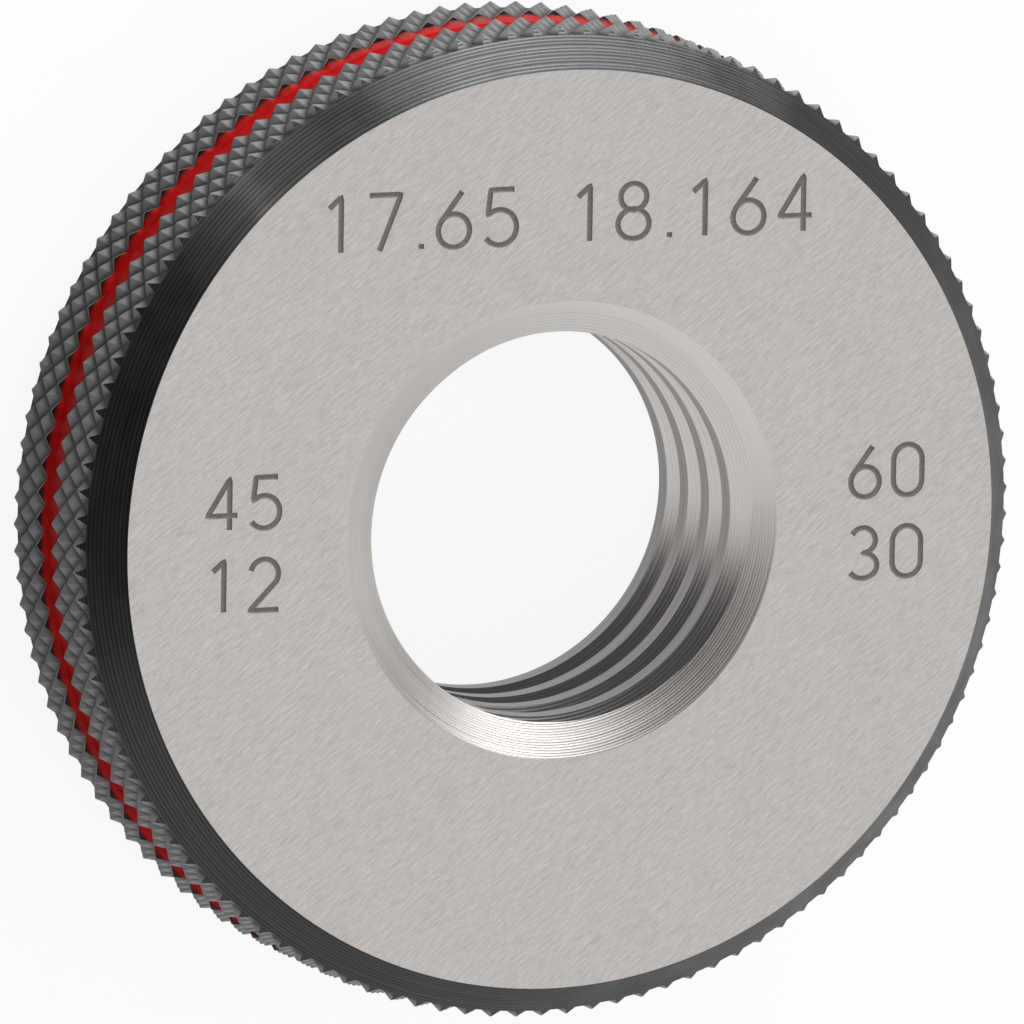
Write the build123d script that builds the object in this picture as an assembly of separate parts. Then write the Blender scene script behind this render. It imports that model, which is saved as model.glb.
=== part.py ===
from build123d import *
from build123d.topology import SkipClean
from math import cos, radians, sin, tan
import os

# Thread ring gauge for a coarse metric thread, lying on its back face.
# Millimetres. The axis is Z, the back face is at z = 0 and the marked front face at z = thickness.

# Body
outside_diameter = 45.0
thickness = 12.0
rim_bevel_width = 1.7
rim_bevel_height = 2.2

# Marking groove round the rim, and the lacquer that lies in it
groove_width = 1.85
groove_depth = 0.6
lacquer_thickness = 0.15

# Diamond knurl on both flanges beside the groove. A tip stands at knurl_angle round the axis at
# mid-thickness, and the knurl leans by knurl_lean degrees for each millimetre down from the front.
knurl_teeth = 115
knurl_rows = 3
knurl_depth = 0.37
knurl_angle = 112.9
knurl_lean = 0.09

# Right-hand thread; the crest depth is from the front face to a crest, at the X axis
thread_pitch = 2.5
thread_minor_diameter = 17.65
thread_root_diameter = 20.05
thread_flank_angle = 60.0
thread_crest_width = 0.96
thread_crest_depth = 2.26

# Entry chamfer at both ends of the thread
entry_diameter = 20.75
entry_angle = 120.0

outside_radius = outside_diameter / 2
valley_radius = outside_radius - knurl_depth
face_radius = outside_radius - rim_bevel_width
minor_radius = thread_minor_diameter / 2
root_radius = thread_root_diameter / 2
entry_radius = entry_diameter / 2
entry_depth = (entry_radius - minor_radius) / tan(radians(entry_angle / 2))
groove_floor_radius = outside_radius - groove_depth
half_thickness = thickness / 2
half_groove = groove_width / 2
knurl_columns = 2 * knurl_teeth
tongue_columns = range(knurl_rows % 2, knurl_columns, 2)
front, back = 1, -1
quarters_in_turn = 4
quarter_turn = 360.0 / quarters_in_turn


def rim_point(side, radius, from_middle, column):
    """A point on one of the knurl's columns, half a tooth apart, so far from mid-thickness on one side."""
    rise = side * from_middle
    turn = radians(knurl_angle + column * 360 / knurl_columns - rise * knurl_lean)
    return Vector(radius * cos(turn), radius * sin(turn), half_thickness + rise)


def knurl_corner(side, row, column):
    """A tip of the knurl where row and column are both odd or both even, else a valley between tips."""
    radius = outside_radius if (row + column) % 2 == 0 else valley_radius
    knurl_width = half_thickness - rim_bevel_height - half_groove
    return rim_point(side, radius, half_groove + knurl_width * row / knurl_rows, column)


def knurl_facets(side):
    """Two facets for each cell between neighbouring rows and columns, which meet along a valley."""
    facets = []
    for row in range(knurl_rows):
        for column in range(knurl_columns):
            cell = [(row, column), (row + 1, column), (row + 1, column + 1), (row, column + 1)]
            if (row + column) % 2 == 0:
                cell = cell[1:] + cell[:1]
            first, second, third, fourth = [knurl_corner(side, *corner) for corner in cell]
            facets += [(first, second, third), (first, third, fourth)]
    return facets


def face_point(side, column):
    return rim_point(side, face_radius, half_thickness, column)


def bevel_facets(side):
    """The bevel from the face out to the knurl: a tongue reaches each tip, with an arch at each valley."""
    arch_height = rim_bevel_height * (valley_radius - face_radius) / rim_bevel_width
    facets = []
    for column in tongue_columns:
        tip = knurl_corner(side, knurl_rows, column)
        before = rim_point(side, valley_radius, half_thickness - arch_height, column - 1)
        after = rim_point(side, valley_radius, half_thickness - arch_height, column + 1)
        inner, next_inner = face_point(side, column), face_point(side, column + 2)
        facets += [(inner, before, tip), (inner, tip, after), (inner, after, next_inner)]
        facets += [(tip, before, knurl_corner(side, knurl_rows, column - 1))]
        facets += [(tip, after, knurl_corner(side, knurl_rows, column + 1))]
    return facets


def knurled_flange(side):
    """Solid disc on one side of the groove, with its face, its bevel and its band of knurl."""
    face_outline = [face_point(side, column) for column in tongue_columns]
    groove_outline = [knurl_corner(side, 0, column) for column in range(knurl_columns)]
    outlines = knurl_facets(side) + bevel_facets(side) + [face_outline, groove_outline]
    return Solid(Shell([Face(Wire.make_polygon(outline)) for outline in outlines]))


def bore():
    """The plain bore with both entry chamfers, as four quarters whose borders stay as edges."""
    section = make_face(
        Polyline(
            (0, 0),
            (entry_radius, 0),
            (minor_radius, entry_depth),
            (minor_radius, thickness - entry_depth),
            (entry_radius, thickness),
            (0, thickness),
            close=True,
        )
    )
    quarter = revolve(Plane.XZ * section, Axis.Z, quarter_turn)
    return [Rot(0, 0, turn * quarter_turn) * quarter for turn in range(quarters_in_turn)]


def ring_blank():
    """The knurled and bored ring before threading."""
    groove_core = Pos(0, 0, half_thickness) * Cylinder(groove_floor_radius, groove_width)
    return knurled_flange(back) + groove_core + knurled_flange(front) - bore()


def thread_gap_segment():
    """A quarter turn of the gap between two thread ridges, starting at the X axis with its middle at z = 0."""
    slope = tan(radians(thread_flank_angle / 2))
    thread_depth = root_radius - minor_radius
    inside_radius = minor_radius - thread_depth / 2
    half_gap = (thread_pitch - thread_crest_width) / 2
    half_gap_inside = half_gap + (minor_radius - inside_radius) * slope
    half_gap_at_root = half_gap - thread_depth * slope
    profile = make_face(
        Polyline(
            (inside_radius, -half_gap_inside),
            (root_radius, -half_gap_at_root),
            (root_radius, half_gap_at_root),
            (inside_radius, half_gap_inside),
            close=True,
        )
    )
    path = Helix(thread_pitch, thread_pitch / quarters_in_turn, minor_radius)
    return sweep(Plane.XZ * profile, path=path, is_frenet=True)


def thread_gap():
    """The whole right-hand gap as quarter turns, from below the back face to above the front face."""
    segment = thread_gap_segment()
    rise = thread_pitch / quarters_in_turn
    gap_middle = thickness - thread_crest_depth + thread_pitch / 2
    start = gap_middle % thread_pitch - 2 * thread_pitch
    count = round((thickness - start + thread_pitch) / rise)
    return [Pos(0, 0, start + step * rise) * Rot(0, 0, step * quarter_turn) * segment for step in range(count)]


def gauge_ring():
    """The one-piece threaded ring. Each thread ridge keeps a short crest face in every quarter."""
    with SkipClean():
        return ring_blank() - thread_gap()


def groove_paint():
    """Lacquer on the floor of the marking groove."""
    outer = Cylinder(groove_floor_radius + lacquer_thickness, groove_width)
    inner = Cylinder(groove_floor_radius, groove_width)
    return Pos(0, 0, half_thickness) * (outer - inner)


os.makedirs("parts", exist_ok=True)
export_step(gauge_ring(), "parts/gauge_ring.step")
export_step(groove_paint(), "parts/groove_paint.step")
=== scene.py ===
import math

import bmesh
import bpy
from mathutils import Matrix, Vector, noise


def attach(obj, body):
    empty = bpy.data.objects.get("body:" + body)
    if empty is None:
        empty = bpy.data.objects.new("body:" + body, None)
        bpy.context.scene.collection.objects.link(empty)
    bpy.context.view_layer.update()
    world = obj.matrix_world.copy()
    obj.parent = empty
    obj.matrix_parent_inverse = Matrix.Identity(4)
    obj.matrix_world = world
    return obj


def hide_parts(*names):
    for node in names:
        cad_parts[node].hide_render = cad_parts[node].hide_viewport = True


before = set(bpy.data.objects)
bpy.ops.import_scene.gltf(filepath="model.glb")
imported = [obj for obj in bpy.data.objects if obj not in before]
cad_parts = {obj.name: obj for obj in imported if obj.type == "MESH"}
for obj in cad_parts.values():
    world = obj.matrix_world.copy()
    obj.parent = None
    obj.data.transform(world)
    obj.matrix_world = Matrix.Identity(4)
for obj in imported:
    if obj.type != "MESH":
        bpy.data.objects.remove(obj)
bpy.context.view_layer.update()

# Thread ring gauge. Lengths in the tables below are millimetres; the scene is in metres.
# Depths are measured back from the front face.
MM = 0.001
FULL_TURN = 2 * math.pi

THICKNESS = 12.0
RIM_RADIUS = 22.5
FACE_RADIUS = 20.8
BEVEL_HEIGHT = 2.2
GROOVE_WIDTH = 1.85
GROOVE_FLOOR_RADIUS = 21.9
ENTRY_RADIUS = 10.375
MINOR_RADIUS = 8.825
ROOT_RADIUS = 10.025
ENTRY_DEPTH = (ENTRY_RADIUS - MINOR_RADIUS) / math.tan(math.radians(60))
PITCH = 2.5
CREST_WIDTH = 0.96
FLANK_SLOPE = math.tan(math.radians(30))
FIRST_CREST_DEPTH = 2.26

KNURL_TEETH = 115
KNURL_DEPTH = 0.37
KNURL_ROW_GAP = 0.9375
KNURL_FIRST_DEPTH = 3.22
KNURL_FIRST_ANGLE = 112.66
KNURL_LEAN = 0.091
TIP_WEAR = 0.03
RIDGE_WEAR = 0.03
TIP_BAND = 0.1
ROW_MARGIN = 0.1

BEVEL_FEED = 0.131
CHAMFER_FEED = 0.11
THREAD_FEED = 0.17
WHEEL_MARK_ANGLE = 38

LACQUER_CREEP = 0.46
LACQUER_EDGE = 0.02

RING_STEPS = 720
THREAD_STEPS = 180
WELD = 1e-7
SLIVER = 2e-7
SHARP_ANGLE = math.radians(14)


# ---------------------------------------------------------------- finishes

def node(finish, kind, inputs, output=0, **settings):
    """Adds a shader node and returns one of its outputs."""
    made = finish.node_tree.nodes.new("ShaderNode" + kind)
    for name, value in settings.items():
        setattr(made, name, value)
    for key, value in inputs.items():
        if isinstance(value, bpy.types.NodeSocket):
            finish.node_tree.links.new(value, made.inputs[key])
        else:
            made.inputs[key].default_value = value
    return made.outputs[output]


def new_finish(name, metallic, **constants):
    """A material and its Principled shader, with constants set on the shader's sockets."""
    finish = bpy.data.materials.new(name)
    finish.use_nodes = True
    shader = finish.node_tree.nodes["Principled BSDF"]
    shader.inputs["Metallic"].default_value = metallic
    for key, value in constants.items():
        shader.inputs[key.replace("_", " ")].default_value = value
    return finish, shader


def calc(finish, operation, first, second=0.0, third=0.0):
    return node(finish, "Math", {0: first, 1: second, 2: third}, operation=operation)


def millimetres(finish):
    """Object coordinates in millimetres."""
    where = finish.node_tree.nodes.new("ShaderNodeTexCoord").outputs["Object"]
    return node(finish, "VectorMath", {0: where, 3: 1 / MM}, operation="SCALE")


def polar(finish, where):
    """The radius, x, y and z of a place on the ring."""
    apart = finish.node_tree.nodes.new("ShaderNodeSeparateXYZ")
    finish.node_tree.links.new(where, apart.inputs[0])
    x, y, z = apart.outputs
    flat = node(finish, "CombineXYZ", {0: x, 1: y})
    radius = node(finish, "VectorMath", {0: flat}, output="Value", operation="LENGTH")
    return radius, x, y, z


def span(finish, value, low, high, to_low=0.0, to_high=1.0, smooth=False):
    kind = "SMOOTHSTEP" if smooth else "LINEAR"
    return node(finish, "MapRange", {"Value": value, "From Min": low, "From Max": high,
                                     "To Min": to_low, "To Max": to_high}, interpolation_type=kind)


def blended(finish, share, first, second):
    return node(finish, "MixRGB", {"Fac": share, "Color1": first, "Color2": second})


def grain(finish, where, scale, detail=2.0, rough=0.5):
    return node(finish, "TexNoise", {"Vector": where, "Scale": scale, "Detail": detail,
                                     "Roughness": rough})


def stretched(finish, where, angle, along, across):
    """Coordinates for streaks at an angle to X, so long and so wide in millimetres."""
    return node(finish, "Mapping", {"Vector": where, "Rotation": (0, 0, math.radians(angle)),
                                    "Scale": (along, across, across)}, vector_type="TEXTURE")


def tool_rings(finish, travel, x, y, pitch):
    """Uneven rings round the axis at the turning tool's feed, from 0 in a furrow to 1 on a crest."""
    where = node(finish, "CombineXYZ", {0: calc(finish, "DIVIDE", travel, pitch),
                                        1: calc(finish, "MULTIPLY", x, 0.05),
                                        2: calc(finish, "MULTIPLY", y, 0.05)})
    uneven = grain(finish, where, 1.0, 3.0, 0.6)
    turn = calc(finish, "ADD", calc(finish, "DIVIDE", travel, pitch), uneven)
    swing = calc(finish, "SINE", calc(finish, "MULTIPLY", turn, FULL_TURN))
    even = calc(finish, "MULTIPLY_ADD", swing, 0.5, 0.5)
    return calc(finish, "ADD", calc(finish, "MULTIPLY", even, 0.5), calc(finish, "MULTIPLY", uneven, 0.5))


def bump(finish, shader, height, strength, distance):
    normal = node(finish, "Bump", {"Height": height, "Strength": strength, "Distance": distance * MM})
    finish.node_tree.links.new(normal, shader.inputs["Normal"])


def connect(finish, shader, **inputs):
    for key, socket in inputs.items():
        finish.node_tree.links.new(socket, shader.inputs[key.replace("_", " ")])


def grey(value, warmth=0.0):
    return (value * (1 + warmth), value, value * (1 - 0.7 * warmth), 1)


def ground_steel():
    """Surface-ground faces: slanting wheel marks with a mottled sheen."""
    finish, shader = new_finish("ground steel", 1.0)
    where = millimetres(finish)
    fine = grain(finish, stretched(finish, where, WHEEL_MARK_ANGLE, 0.45, 0.045), 1.0, 3.0, 0.6)
    broad = grain(finish, stretched(finish, where, WHEEL_MARK_ANGLE, 1.2, 0.12), 1.0, 3.0, 0.6)
    speckle = grain(finish, where, 7.0, 3.0, 0.7)
    mottle = grain(finish, where, 0.3, 3.0)
    tone = calc(finish, "MULTIPLY_ADD", fine, 0.6, calc(finish, "MULTIPLY", broad, 0.25))
    tone = calc(finish, "MULTIPLY_ADD", speckle, 0.1, tone)
    tone = calc(finish, "MULTIPLY_ADD", mottle, 0.05, tone)
    connect(finish, shader,
            Base_Color=blended(finish, span(finish, tone, 0.38, 0.62),
                               grey(0.42, 0.05), grey(0.59, 0.05)),
            Roughness=span(finish, fine, 0.3, 0.7, 0.38, 0.5))
    bump(finish, shader, fine, 0.4, 0.008)
    return finish


def turned_oxide():
    """Blackened bevels and groove walls with the rings of the turning tool."""
    finish, shader = new_finish("turned black oxide", 1.0)
    where = millimetres(finish)
    radius, x, y, _ = polar(finish, where)
    rings = tool_rings(finish, radius, x, y, BEVEL_FEED)
    patches = grain(finish, where, 0.5, 2.0)
    connect(finish, shader,
            Base_Color=blended(finish, span(finish, rings, 0.25, 0.75),
                               grey(0.038, -0.02), grey(0.078, -0.01)),
            Roughness=span(finish, patches, 0.3, 0.7, 0.3, 0.42))
    bump(finish, shader, rings, 0.3, 0.02)
    return finish


def knurled_oxide():
    """Blackened knurl, grey with handling on the tips, darker down in the valleys: black oxide kept
    there, and painted shade.
    """
    finish, shader = new_finish("knurled black oxide", 0.3)
    where = millimetres(finish)
    radius = polar(finish, where)[0]
    rough = grain(finish, where, 9.0, 4.0, 0.6)
    patches = grain(finish, where, 0.6, 2.0)
    # Darker towards the valleys: partly black oxide kept there, partly painted shade in the hollows.
    worn_tips_and_valley_shade = span(finish, calc(finish, "MULTIPLY_ADD", rough, 0.1, radius),
                  RIM_RADIUS - KNURL_DEPTH, RIM_RADIUS - TIP_BAND, smooth=True)
    base = blended(finish, worn_tips_and_valley_shade, grey(0.005), grey(0.24, 0.01))
    base = blended(finish, span(finish, patches, 0.35, 0.65, 0.0, 0.3), base, grey(0.1))
    connect(finish, shader, Base_Color=base, Roughness=span(finish, rough, 0.3, 0.7, 0.3, 0.45))
    bump(finish, shader, rough, 0.5, 0.02)
    return finish


def thread_steel():
    """Lapped thread, bright with fine rings."""
    finish, shader = new_finish("lapped thread steel", 1.0)
    radius, x, y, z = polar(finish, millimetres(finish))
    rings = tool_rings(finish, calc(finish, "MULTIPLY_ADD", z, 0.3, radius), x, y, THREAD_FEED)
    connect(finish, shader,
            Base_Color=blended(finish, rings, grey(0.42, 0.04), grey(0.58, 0.04)),
            Roughness=span(finish, rings, 0.3, 0.7, 0.14, 0.26))
    bump(finish, shader, rings, 0.15, 0.01)
    return finish


def chamfer_steel():
    """Coarser turned entry chamfers, pale and satin."""
    finish, shader = new_finish("turned chamfer steel", 1.0)
    radius, x, y, _ = polar(finish, millimetres(finish))
    rings = tool_rings(finish, radius, x, y, CHAMFER_FEED)
    connect(finish, shader,
            Base_Color=blended(finish, rings, grey(0.47, 0.05), grey(0.68, 0.04)),
            Roughness=span(finish, rings, 0.3, 0.7, 0.3, 0.44))
    bump(finish, shader, rings, 0.3, 0.012)
    return finish


def worn_steel():
    """Bare metal where the knurl's tips have lost their black."""
    finish, shader = new_finish("worn edge steel", 0.6)
    rough = grain(finish, millimetres(finish), 6.0, 3.0)
    connect(finish, shader,
            Base_Color=blended(finish, span(finish, rough, 0.35, 0.6),
                               grey(0.2, 0.02), grey(0.75, 0.03)),
            Roughness=span(finish, rough, 0.3, 0.7, 0.35, 0.5))
    return finish


def etched_mark():
    """Burnt brown-grey strokes of the numbers."""
    finish, shader = new_finish("etched numbers", 0.4)
    speckle = grain(finish, millimetres(finish), 14.0, 3.0, 0.6)
    connect(finish, shader,
            Base_Color=blended(finish, span(finish, speckle, 0.35, 0.65),
                               grey(0.12, 0.1), grey(0.2, 0.1)),
            Roughness=span(finish, speckle, 0.3, 0.7, 0.5, 0.7))
    bump(finish, shader, speckle, 0.4, 0.01)
    return finish


def red_lacquer():
    """Brushed-on lacquer: full red on the groove's floor, darker and brown towards its edge where it
    creeps up the walls.
    """
    finish, shader = new_finish("red lacquer", 0.0, Specular_IOR_Level=0.12)
    where = millimetres(finish)
    radius = polar(finish, where)[0]
    brush = grain(finish, where, 1.6, 3.0, 0.55)
    edge = calc(finish, "MULTIPLY_ADD", brush, 0.16, radius)
    # Darker brown towards the top of the walls, by radius.
    upper_wall_dark = span(finish, edge, GROOVE_FLOOR_RADIUS + 0.36, GROOVE_FLOOR_RADIUS + 0.5, smooth=True)
    red = blended(finish, span(finish, brush, 0.35, 0.65),
                  (0.28, 0.002, 0.0015, 1), (0.42, 0.004, 0.003, 1))
    connect(finish, shader,
            Base_Color=blended(finish, upper_wall_dark, red, (0.05, 0.006, 0.004, 1)),
            Roughness=span(finish, brush, 0.3, 0.7, 0.38, 0.55))
    bump(finish, shader, brush, 0.5, 0.05)
    return finish


FINISHES = [ground_steel(), turned_oxide(), knurled_oxide(), thread_steel(), chamfer_steel(),
            worn_steel(), etched_mark()]
GROUND, TURNED, KNURLED, THREAD, CHAMFER, WORN, ETCHED = range(len(FINISHES))


# ---------------------------------------------------------------- small helpers

def new_piece(name, bm, materials):
    """A mesh object from a bmesh, with its finishes in order."""
    mesh = bpy.data.meshes.new(name)
    bm.to_mesh(mesh)
    bm.free()
    piece = bpy.data.objects.new(name, mesh)
    bpy.context.scene.collection.objects.link(piece)
    for material in materials:
        mesh.materials.append(material)
    return piece


def open_section(bm, points):
    """A chain of edges through (radius, height) points, in the X-Z plane."""
    corners = [bm.verts.new((r * MM, 0, z * MM)) for r, z in points]
    return corners, [bm.edges.new(pair) for pair in zip(corners, corners[1:])]


def closed_section(bm, points):
    """The same chain, closed into a ring of edges."""
    corners, sides = open_section(bm, points)
    sides.append(bm.edges.new((corners[-1], corners[0])))
    return corners, sides


def turned(points, steps):
    """A closed section turned once about the bore's axis."""
    bm = bmesh.new()
    corners, sides = closed_section(bm, points)
    bmesh.ops.spin(bm, geom=corners + sides, cent=(0, 0, 0), axis=(0, 0, 1), angle=FULL_TURN,
                   steps=steps, use_merge=True)
    bmesh.ops.remove_doubles(bm, verts=bm.verts, dist=WELD)
    bmesh.ops.recalc_face_normals(bm, faces=bm.faces)
    return bm


def machined(piece, tool, operation, uses_self=False):
    """Cuts a piece with a tool, which is used up. A tool that crosses itself needs uses_self."""
    cut = piece.modifiers.new("cut", "BOOLEAN")
    cut.operation, cut.solver, cut.object = operation, "EXACT", tool
    cut.material_mode = "INDEX"
    cut.use_self = uses_self
    bpy.context.view_layer.update()
    result = bpy.data.meshes.new_from_object(
        piece.evaluated_get(bpy.context.evaluated_depsgraph_get()))
    piece.modifiers.clear()
    piece.data = result
    bpy.data.objects.remove(tool)


# ---------------------------------------------------------------- the ring

def ring_blank():
    """The turned ring with its groove, before knurling and threading."""
    half_groove = GROOVE_WIDTH / 2
    middle = THICKNESS / 2
    section = [
        (MINOR_RADIUS, ENTRY_DEPTH), (ENTRY_RADIUS, 0), (FACE_RADIUS, 0), (RIM_RADIUS, BEVEL_HEIGHT),
        (RIM_RADIUS, middle - half_groove), (GROOVE_FLOOR_RADIUS, middle - half_groove),
        (GROOVE_FLOOR_RADIUS, middle + half_groove), (RIM_RADIUS, middle + half_groove),
        (RIM_RADIUS, THICKNESS - BEVEL_HEIGHT), (FACE_RADIUS, THICKNESS), (ENTRY_RADIUS, THICKNESS),
        (MINOR_RADIUS, THICKNESS - ENTRY_DEPTH)]
    bm = turned(section, RING_STEPS)
    for face in bm.faces:
        centre = face.calc_center_median() / MM
        radius = math.hypot(centre.x, centre.y)
        if radius < MINOR_RADIUS + 0.01:
            face.material_index = THREAD
        elif radius < ENTRY_RADIUS - 0.01:
            face.material_index = CHAMFER
        elif radius < FACE_RADIUS:
            face.material_index = GROUND
        elif radius > RIM_RADIUS - 0.01:
            face.material_index = WORN
        else:
            face.material_index = TURNED
    return new_piece("gauge_body", bm, FINISHES)


def knurled_cylinder():
    """A rolled diamond knurl: staggered pyramids on a solid core, flat where the bevels cut it away."""
    columns = 2 * KNURL_TEETH
    core = RIM_RADIUS - KNURL_DEPTH
    rows_up = math.ceil((KNURL_FIRST_DEPTH + 0.6) / KNURL_ROW_GAP)
    rows_down = math.ceil((THICKNESS - KNURL_FIRST_DEPTH + 0.6) / KNURL_ROW_GAP)
    heights = [THICKNESS - KNURL_FIRST_DEPTH - row * KNURL_ROW_GAP
               for row in range(-rows_up, rows_down + 1)]
    bm = bmesh.new()
    corners, sides = open_section(bm, [(core, height) for height in heights])
    bmesh.ops.spin(bm, geom=corners + sides, cent=(0, 0, 0), axis=(0, 0, 1), angle=FULL_TURN,
                   steps=columns, use_merge=True)
    bmesh.ops.remove_doubles(bm, verts=bm.verts, dist=WELD)
    valleys = []
    for corner in bm.verts:
        column = round(math.atan2(corner.co.y, corner.co.x) / FULL_TURN * columns)
        depth = THICKNESS - corner.co.z / MM
        row = round((depth - KNURL_FIRST_DEPTH) / KNURL_ROW_GAP)
        if (column + row) % 2:
            valleys.append(corner)
            corner.co.xy *= 1 - 0.02 / core * noise.noise(corner.co * 900)
        elif BEVEL_HEIGHT < depth < THICKNESS - BEVEL_HEIGHT + ROW_MARGIN:
            tip = RIM_RADIUS + TIP_WEAR * (0.6 + 1.2 * noise.noise(corner.co * 700))
            corner.co.xy *= tip / core
    bmesh.ops.connect_verts(bm, verts=valleys)
    for face in bm.faces:
        face.material_index = KNURLED
    ridges = [edge for edge in bm.edges if sum(
        math.hypot(end.co.x, end.co.y) > (RIM_RADIUS - TIP_BAND) * MM for end in edge.verts) == 1]
    bmesh.ops.bevel(bm, geom=ridges, offset=RIDGE_WEAR * MM, offset_type="OFFSET", affect="EDGES",
                    segments=1, profile=0.5, clamp_overlap=True, material=-1)
    bmesh.ops.holes_fill(bm, edges=[edge for edge in bm.edges if edge.is_boundary], sides=0)
    for corner in bm.verts:
        lean = KNURL_LEAN * (THICKNESS - KNURL_FIRST_DEPTH - corner.co.z / MM)
        corner.co.rotate(Matrix.Rotation(math.radians(KNURL_FIRST_ANGLE + lean), 3, "Z"))
    bmesh.ops.recalc_face_normals(bm, faces=bm.faces)
    return new_piece("knurl_roll", bm, FINISHES)


def thread_gap():
    """The helical space between crests, run out past both faces."""
    inside = 0.6
    depth = ROOT_RADIUS - MINOR_RADIUS
    half_mouth = (PITCH - CREST_WIDTH) / 2
    first_gap = THICKNESS - FIRST_CREST_DEPTH + PITCH / 2
    turns_below = math.ceil((first_gap + 1.2) / PITCH)
    start = first_gap - turns_below * PITCH
    turns = (THICKNESS + 1.4 - start) / PITCH
    steps = math.ceil(turns * THREAD_STEPS)
    bm = bmesh.new()
    inner = half_mouth + inside * FLANK_SLOPE
    outer = half_mouth - depth * FLANK_SLOPE
    corners, sides = closed_section(bm, [
        (MINOR_RADIUS - inside, start - inner), (ROOT_RADIUS, start - outer),
        (ROOT_RADIUS, start + outer), (MINOR_RADIUS - inside, start + inner)])
    bmesh.ops.spin(bm, geom=corners + sides, cent=(0, 0, 0), axis=(0, 0, 1),
                   dvec=(0, 0, PITCH / THREAD_STEPS * MM), angle=FULL_TURN * steps / THREAD_STEPS,
                   steps=steps)
    bmesh.ops.holes_fill(bm, edges=[e for e in bm.edges if e.is_boundary], sides=4)
    bmesh.ops.recalc_face_normals(bm, faces=bm.faces)
    for face in bm.faces:
        face.material_index = THREAD
    return new_piece("thread_tool", bm, FINISHES)


# Plain numbers for this ring, at the places where such gauges are marked: the thread's minor and pitch
# diameters, the outside diameter over the thickness, and the thread's angle over the chamfer's slope.
# Each is a text, its height, and its place x and y.
NUMBERS = [
    ("17.65 18.164", 2.5, 0.0, 14.3),
    ("45", 2.3, -15.3, 1.95), ("12", 2.3, -15.3, -1.75),
    ("60", 2.3, 15.65, 1.95), ("30", 2.3, 15.65, -1.75),
]
CUT_DEPTH = 0.05
STROKE_WIDTH = 0.27
NEEDLE_RADIUS = (CUT_DEPTH ** 2 + (STROKE_WIDTH / 2) ** 2) / (2 * CUT_DEPTH)

# In shares of a digit's height.
DIGIT_WIDTH = 0.6
DIGIT_SPACING = 0.9
CORNER_REACH = 0.04
BOW_STEP = 12


def bow(x, y, across, up, start, end):
    """Points on part of an oval, in shares of a digit's height, from one angle in degrees to another."""
    steps = max(4, round(abs(end - start) / BOW_STEP))
    angles = [math.radians(start + (end - start) * step / steps) for step in range(steps + 1)]
    return [(x + across * math.cos(angle), y + up * math.sin(angle)) for angle in angles]


DIGITS = {
    "0": [bow(0.3, 0.7, 0.3, 0.3, 0, 180) + bow(0.3, 0.3, 0.3, 0.3, 180, 360) + [(0.6, 0.7)]],
    "1": [[(0.13, 0.8), (0.36, 1.0), (0.36, 0.0)]],
    "2": [bow(0.3, 0.71, 0.29, 0.29, 165, -32) + [(0.0, 0.0), (0.6, 0.0)]],
    "3": [bow(0.28, 0.75, 0.26, 0.25, 150, -90) + bow(0.28, 0.25, 0.3, 0.25, 90, -150)],
    "4": [[(0.46, 0.0), (0.46, 1.0), (0.0, 0.28), (0.62, 0.28)]],
    "5": [[(0.55, 1.0), (0.1, 1.0), (0.05, 0.55)] + bow(0.28, 0.32, 0.32, 0.32, 120, -145)],
    "6": [[(0.45, 1.0), (0.06, 0.48)] + bow(0.3, 0.3, 0.3, 0.3, 150, 510)],
    "7": [[(0.0, 1.0), (0.6, 1.0), (0.2, 0.0)]],
    "8": [bow(0.3, 0.76, 0.25, 0.24, -90, 270), bow(0.3, 0.27, 0.3, 0.27, 90, 450)],
    ".": [[(0.1, 0.0), (0.1, 0.09)]],
    " ": [],
}
ADVANCE = {".": 0.42, " ": 0.75}


def evenly(stroke):
    """The same stroke with extra points by each corner, so that the needle keeps its width there."""
    points = [Vector(point) for point in stroke]
    spaced = [points[0]]
    for before, after in zip(points, points[1:]):
        reach = min(CORNER_REACH, (after - before).length / 3)
        step = (after - before).normalized() * reach
        spaced += [before + step, after - step, after]
    return spaced


def number_cutter():
    """The paths of a round engraving needle, whose tip runs just under the front face."""
    path = bpy.data.curves.new("numbers", "CURVE")
    path.dimensions = "3D"
    path.bevel_depth = NEEDLE_RADIUS * MM
    path.bevel_resolution = 8
    path.use_fill_caps = True
    for text, height, x, y in NUMBERS:
        starts = [sum(ADVANCE.get(digit, DIGIT_SPACING) for digit in text[:count])
                  for count in range(len(text) + 1)]
        width = starts[-1] - DIGIT_SPACING + DIGIT_WIDTH
        for digit, start in zip(text, starts):
            for stroke in DIGITS[digit]:
                line = path.splines.new("POLY")
                points = evenly(stroke)
                line.points.add(len(points) - 1)
                for point, (along, up) in zip(line.points, points):
                    point.co = ((x + (start + along - width / 2) * height) * MM,
                                (y + (up - 0.5) * height) * MM,
                                (THICKNESS + NEEDLE_RADIUS - CUT_DEPTH) * MM, 1)
    engraving = bpy.data.objects.new("numbers", path)
    bpy.context.scene.collection.objects.link(engraving)
    bpy.context.view_layer.update()
    mesh = bpy.data.meshes.new_from_object(
        engraving.evaluated_get(bpy.context.evaluated_depsgraph_get()))
    bm = bmesh.new()
    bm.from_mesh(mesh)
    bmesh.ops.remove_doubles(bm, verts=bm.verts, dist=WELD)
    bmesh.ops.recalc_face_normals(bm, faces=bm.faces)
    for face in bm.faces:
        face.material_index = ETCHED
    bpy.data.objects.remove(engraving)
    return new_piece("number_tool", bm, FINISHES)


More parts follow.
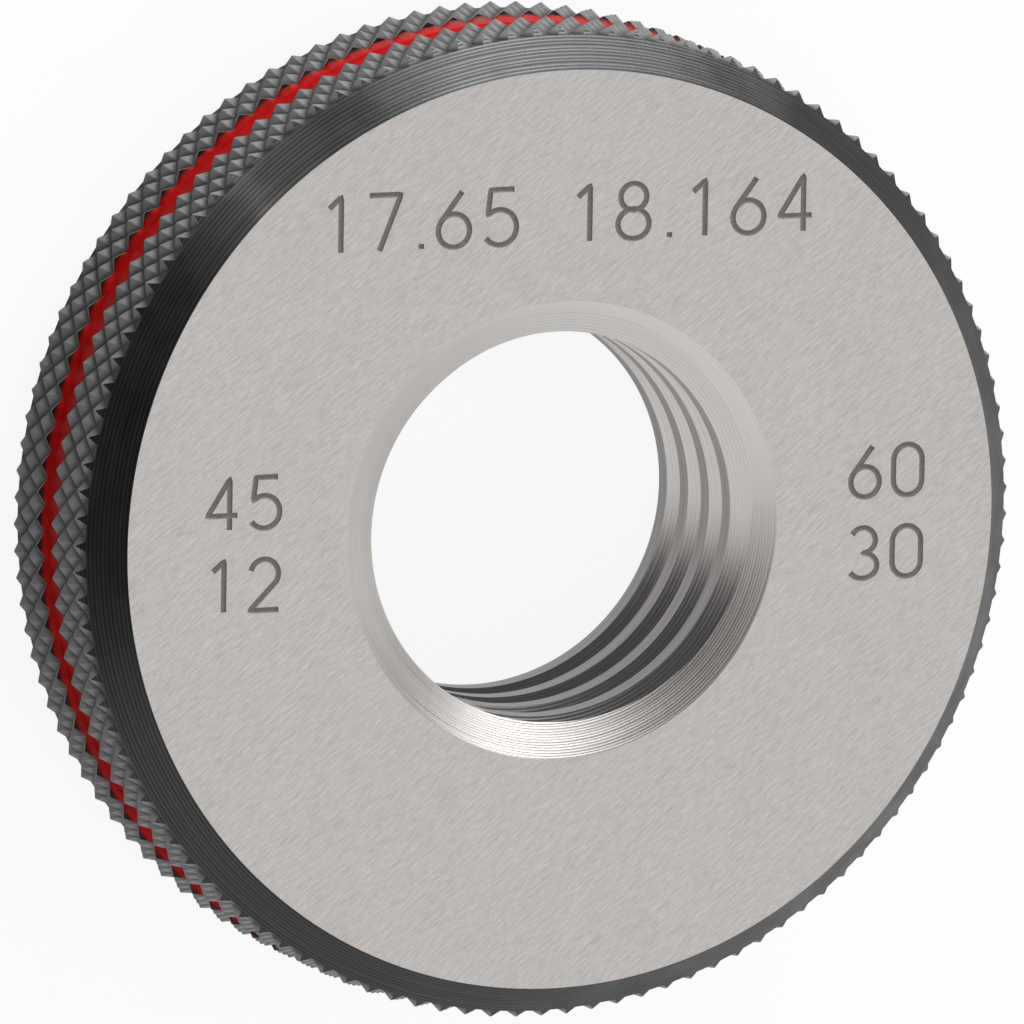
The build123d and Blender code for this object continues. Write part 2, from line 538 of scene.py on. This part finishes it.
def finished_body():
    """The ring, numbered on its plain face before the rim is knurled and the bore threaded."""
    body = ring_blank()
    machined(body, number_cutter(), "DIFFERENCE", uses_self=True)
    machined(body, knurled_cylinder(), "INTERSECT")
    machined(body, thread_gap(), "DIFFERENCE")
    bm = bmesh.new()
    bm.from_mesh(body.data)
    bmesh.ops.dissolve_degenerate(bm, dist=SLIVER, edges=bm.edges)
    for face in bm.faces:
        face.smooth = True
        height = face.calc_center_median().z / MM
        if face.material_index == THREAD and min(height, THICKNESS - height) < ENTRY_DEPTH:
            face.material_index = CHAMFER
    for edge in bm.edges:
        kinds = {face.material_index for face in edge.link_faces}
        edge.smooth = len(kinds) == 1 and edge.calc_face_angle(0) < SHARP_ANGLE
    bm.to_mesh(body.data)
    bm.free()
    return body


def groove_lacquer():
    """Lacquer on the groove's floor, creeping up both walls to an uneven edge."""
    low = THICKNESS / 2 - GROOVE_WIDTH / 2
    high = THICKNESS / 2 + GROOVE_WIDTH / 2
    floor = GROOVE_FLOOR_RADIUS
    bm = turned([
        (floor, low), (floor + LACQUER_CREEP, low), (floor + LACQUER_CREEP, low + LACQUER_EDGE),
        (floor + 0.12, low + 0.06), (floor + 0.07, low + 0.22),
        (floor + 0.06, high - 0.22), (floor + 0.12, high - 0.06),
        (floor + LACQUER_CREEP, high - LACQUER_EDGE), (floor + LACQUER_CREEP, high), (floor, high)],
        RING_STEPS)
    for corner in bm.verts:
        radius = math.hypot(corner.co.x, corner.co.y) / MM
        if radius > floor + 0.15:
            wave = 0.1 * noise.noise(corner.co * 260) + 0.08 * noise.noise(corner.co * 1100)
            corner.co.xy *= 1 + wave / radius
        elif radius > floor + 0.01:
            corner.co.xy *= 1 + 0.02 * noise.noise(corner.co * 600) / radius
    lacquer = new_piece("groove_lacquer", bm, [red_lacquer()])
    machined(lacquer, knurled_cylinder(), "INTERSECT")
    for face in lacquer.data.polygons:
        face.material_index = 0
        face.use_smooth = True
    return lacquer


body = finished_body()
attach(body, "root")
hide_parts("gauge_ring")

paint = groove_lacquer()
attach(paint, "root")
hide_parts("groove_paint")


# ---------------------------------------------------------------- studio

# Metres from here on. PALE_SIDE points to the pale half of the room.
PALE_SIDE = (0.30, -0.79, 0.53)
FLOOR_SIZE = 1.2
FLOOR_SHOWN = 0.9
LAMP_DISTANCE = 0.6
CAMERA_PLACE = Vector((-0.43026, 0.19517, 1.07283))
CAMERA_RIGHT = Vector((0.92828, 0.01538, 0.37155))
CAMERA_DOWN = Vector((-0.04813, -0.98577, 0.16106))
SENSOR, LENS = 36.0, 913.86

# Soft boxes: name, turn round the axis from +X, rise above the floor, size, brightness.
LAMPS = [
    ("key", 68, 13, (0.5, 0.2), 17.0),
    ("left strip", 122, 9, (0.14, 0.14), 5.0),
    ("small box", 39, 28, (0.12, 0.12), 1.4),
]


def studio_floor():
    """White paper that keeps the ring's shadow. Seen in reflections only, it glows pale on one side and
    dim on the other: a painted reflection for the steel to mirror.
    """
    paper = bpy.data.materials.new("studio paper")
    paper.use_nodes = True
    shader = paper.node_tree.nodes["Principled BSDF"]
    shader.inputs["Roughness"].default_value = 0.9
    rays = paper.node_tree.nodes.new("ShaderNodeLightPath")
    paper.node_tree.links.new(blended(paper, rays.outputs["Is Camera Ray"], grey(0.4), grey(0.95)),
                              shader.inputs["Base Color"])
    seen = calc(paper, "MULTIPLY", rays.outputs["Is Camera Ray"], FLOOR_SHOWN)
    # Painted reflection: only reflection rays see this glow, pale on the PALE_SIDE half of the floor and
    # dim on the other half.
    where = paper.node_tree.nodes.new("ShaderNodeTexCoord").outputs["Object"]
    across = node(paper, "VectorMath", {0: where, 1: PALE_SIDE}, output="Value",
                  operation="DOT_PRODUCT")
    painted_reflection = span(paper, across, -0.02, 0.02, 0.05, 0.55, smooth=True)
    painted_reflection = calc(paper, "MULTIPLY", rays.outputs["Is Glossy Ray"], painted_reflection)
    seen = calc(paper, "MAXIMUM", seen, painted_reflection)
    glow = node(paper, "Emission", {"Strength": 1.0})
    mix = node(paper, "MixShader", {0: seen, 1: shader.outputs[0], 2: glow})
    paper.node_tree.links.new(mix, paper.node_tree.nodes["Material Output"].inputs["Surface"])
    bm = bmesh.new()
    bmesh.ops.create_grid(bm, x_segments=1, y_segments=1, size=FLOOR_SIZE)
    new_piece("studio_floor", bm, [paper])


def soft_lamp(name, turn, rise, size, brightness):
    """A soft box aimed at the ring, with its turn and rise in degrees."""
    light = bpy.data.lights.new(name, "AREA")
    light.shape = "RECTANGLE"
    light.size, light.size_y = size
    light.energy = brightness * math.pi * size[0] * size[1]
    lamp = bpy.data.objects.new(name, light)
    turn, rise = math.radians(turn), math.radians(rise)
    lamp.location = Vector((math.cos(turn) * math.cos(rise), math.sin(turn) * math.cos(rise),
                            math.sin(rise))) * LAMP_DISTANCE
    lamp.rotation_euler = (-lamp.location).to_track_quat("-Z", "Y").to_euler()
    bpy.context.scene.collection.objects.link(lamp)


def studio_camera():
    """The ring seen from 24 degrees off its axis, with a long lens."""
    camera = bpy.data.objects.new("camera", bpy.data.cameras.new("camera"))
    ahead = CAMERA_RIGHT.cross(CAMERA_DOWN).normalized()
    turn = Matrix((CAMERA_RIGHT, -CAMERA_DOWN, -ahead)).transposed().to_quaternion()
    camera.matrix_world = Matrix.LocRotScale(CAMERA_PLACE, turn, None)
    camera.data.sensor_width, camera.data.lens = SENSOR, LENS
    camera.data.clip_start, camera.data.clip_end = 0.05, 10
    bpy.context.scene.collection.objects.link(camera)
    bpy.context.scene.camera = camera


def studio_world():
    """A room that is pale on one side and dark on the other, for the polished steel to mirror."""
    world = bpy.data.worlds.new("studio")
    world.use_nodes = True
    heading = world.node_tree.nodes.new("ShaderNodeTexCoord").outputs["Generated"]
    facing = node(world, "VectorMath", {0: heading, 1: PALE_SIDE}, output="Value",
                  operation="DOT_PRODUCT")
    share = span(world, facing, 0.1, 0.42, smooth=True)
    shade = blended(world, share, grey(0.1), (1.0, 0.99, 0.98, 1))
    sky = world.node_tree.nodes["Background"]
    world.node_tree.links.new(shade, sky.inputs["Color"])
    sky.inputs["Strength"].default_value = 1.0
    bpy.context.scene.world = world


studio_floor()
studio_camera()
studio_world()
for lamp in LAMPS:
    soft_lamp(*lamp)
bpy.context.scene.view_settings.view_transform = "Standard"

bpy.context.view_layer.update()
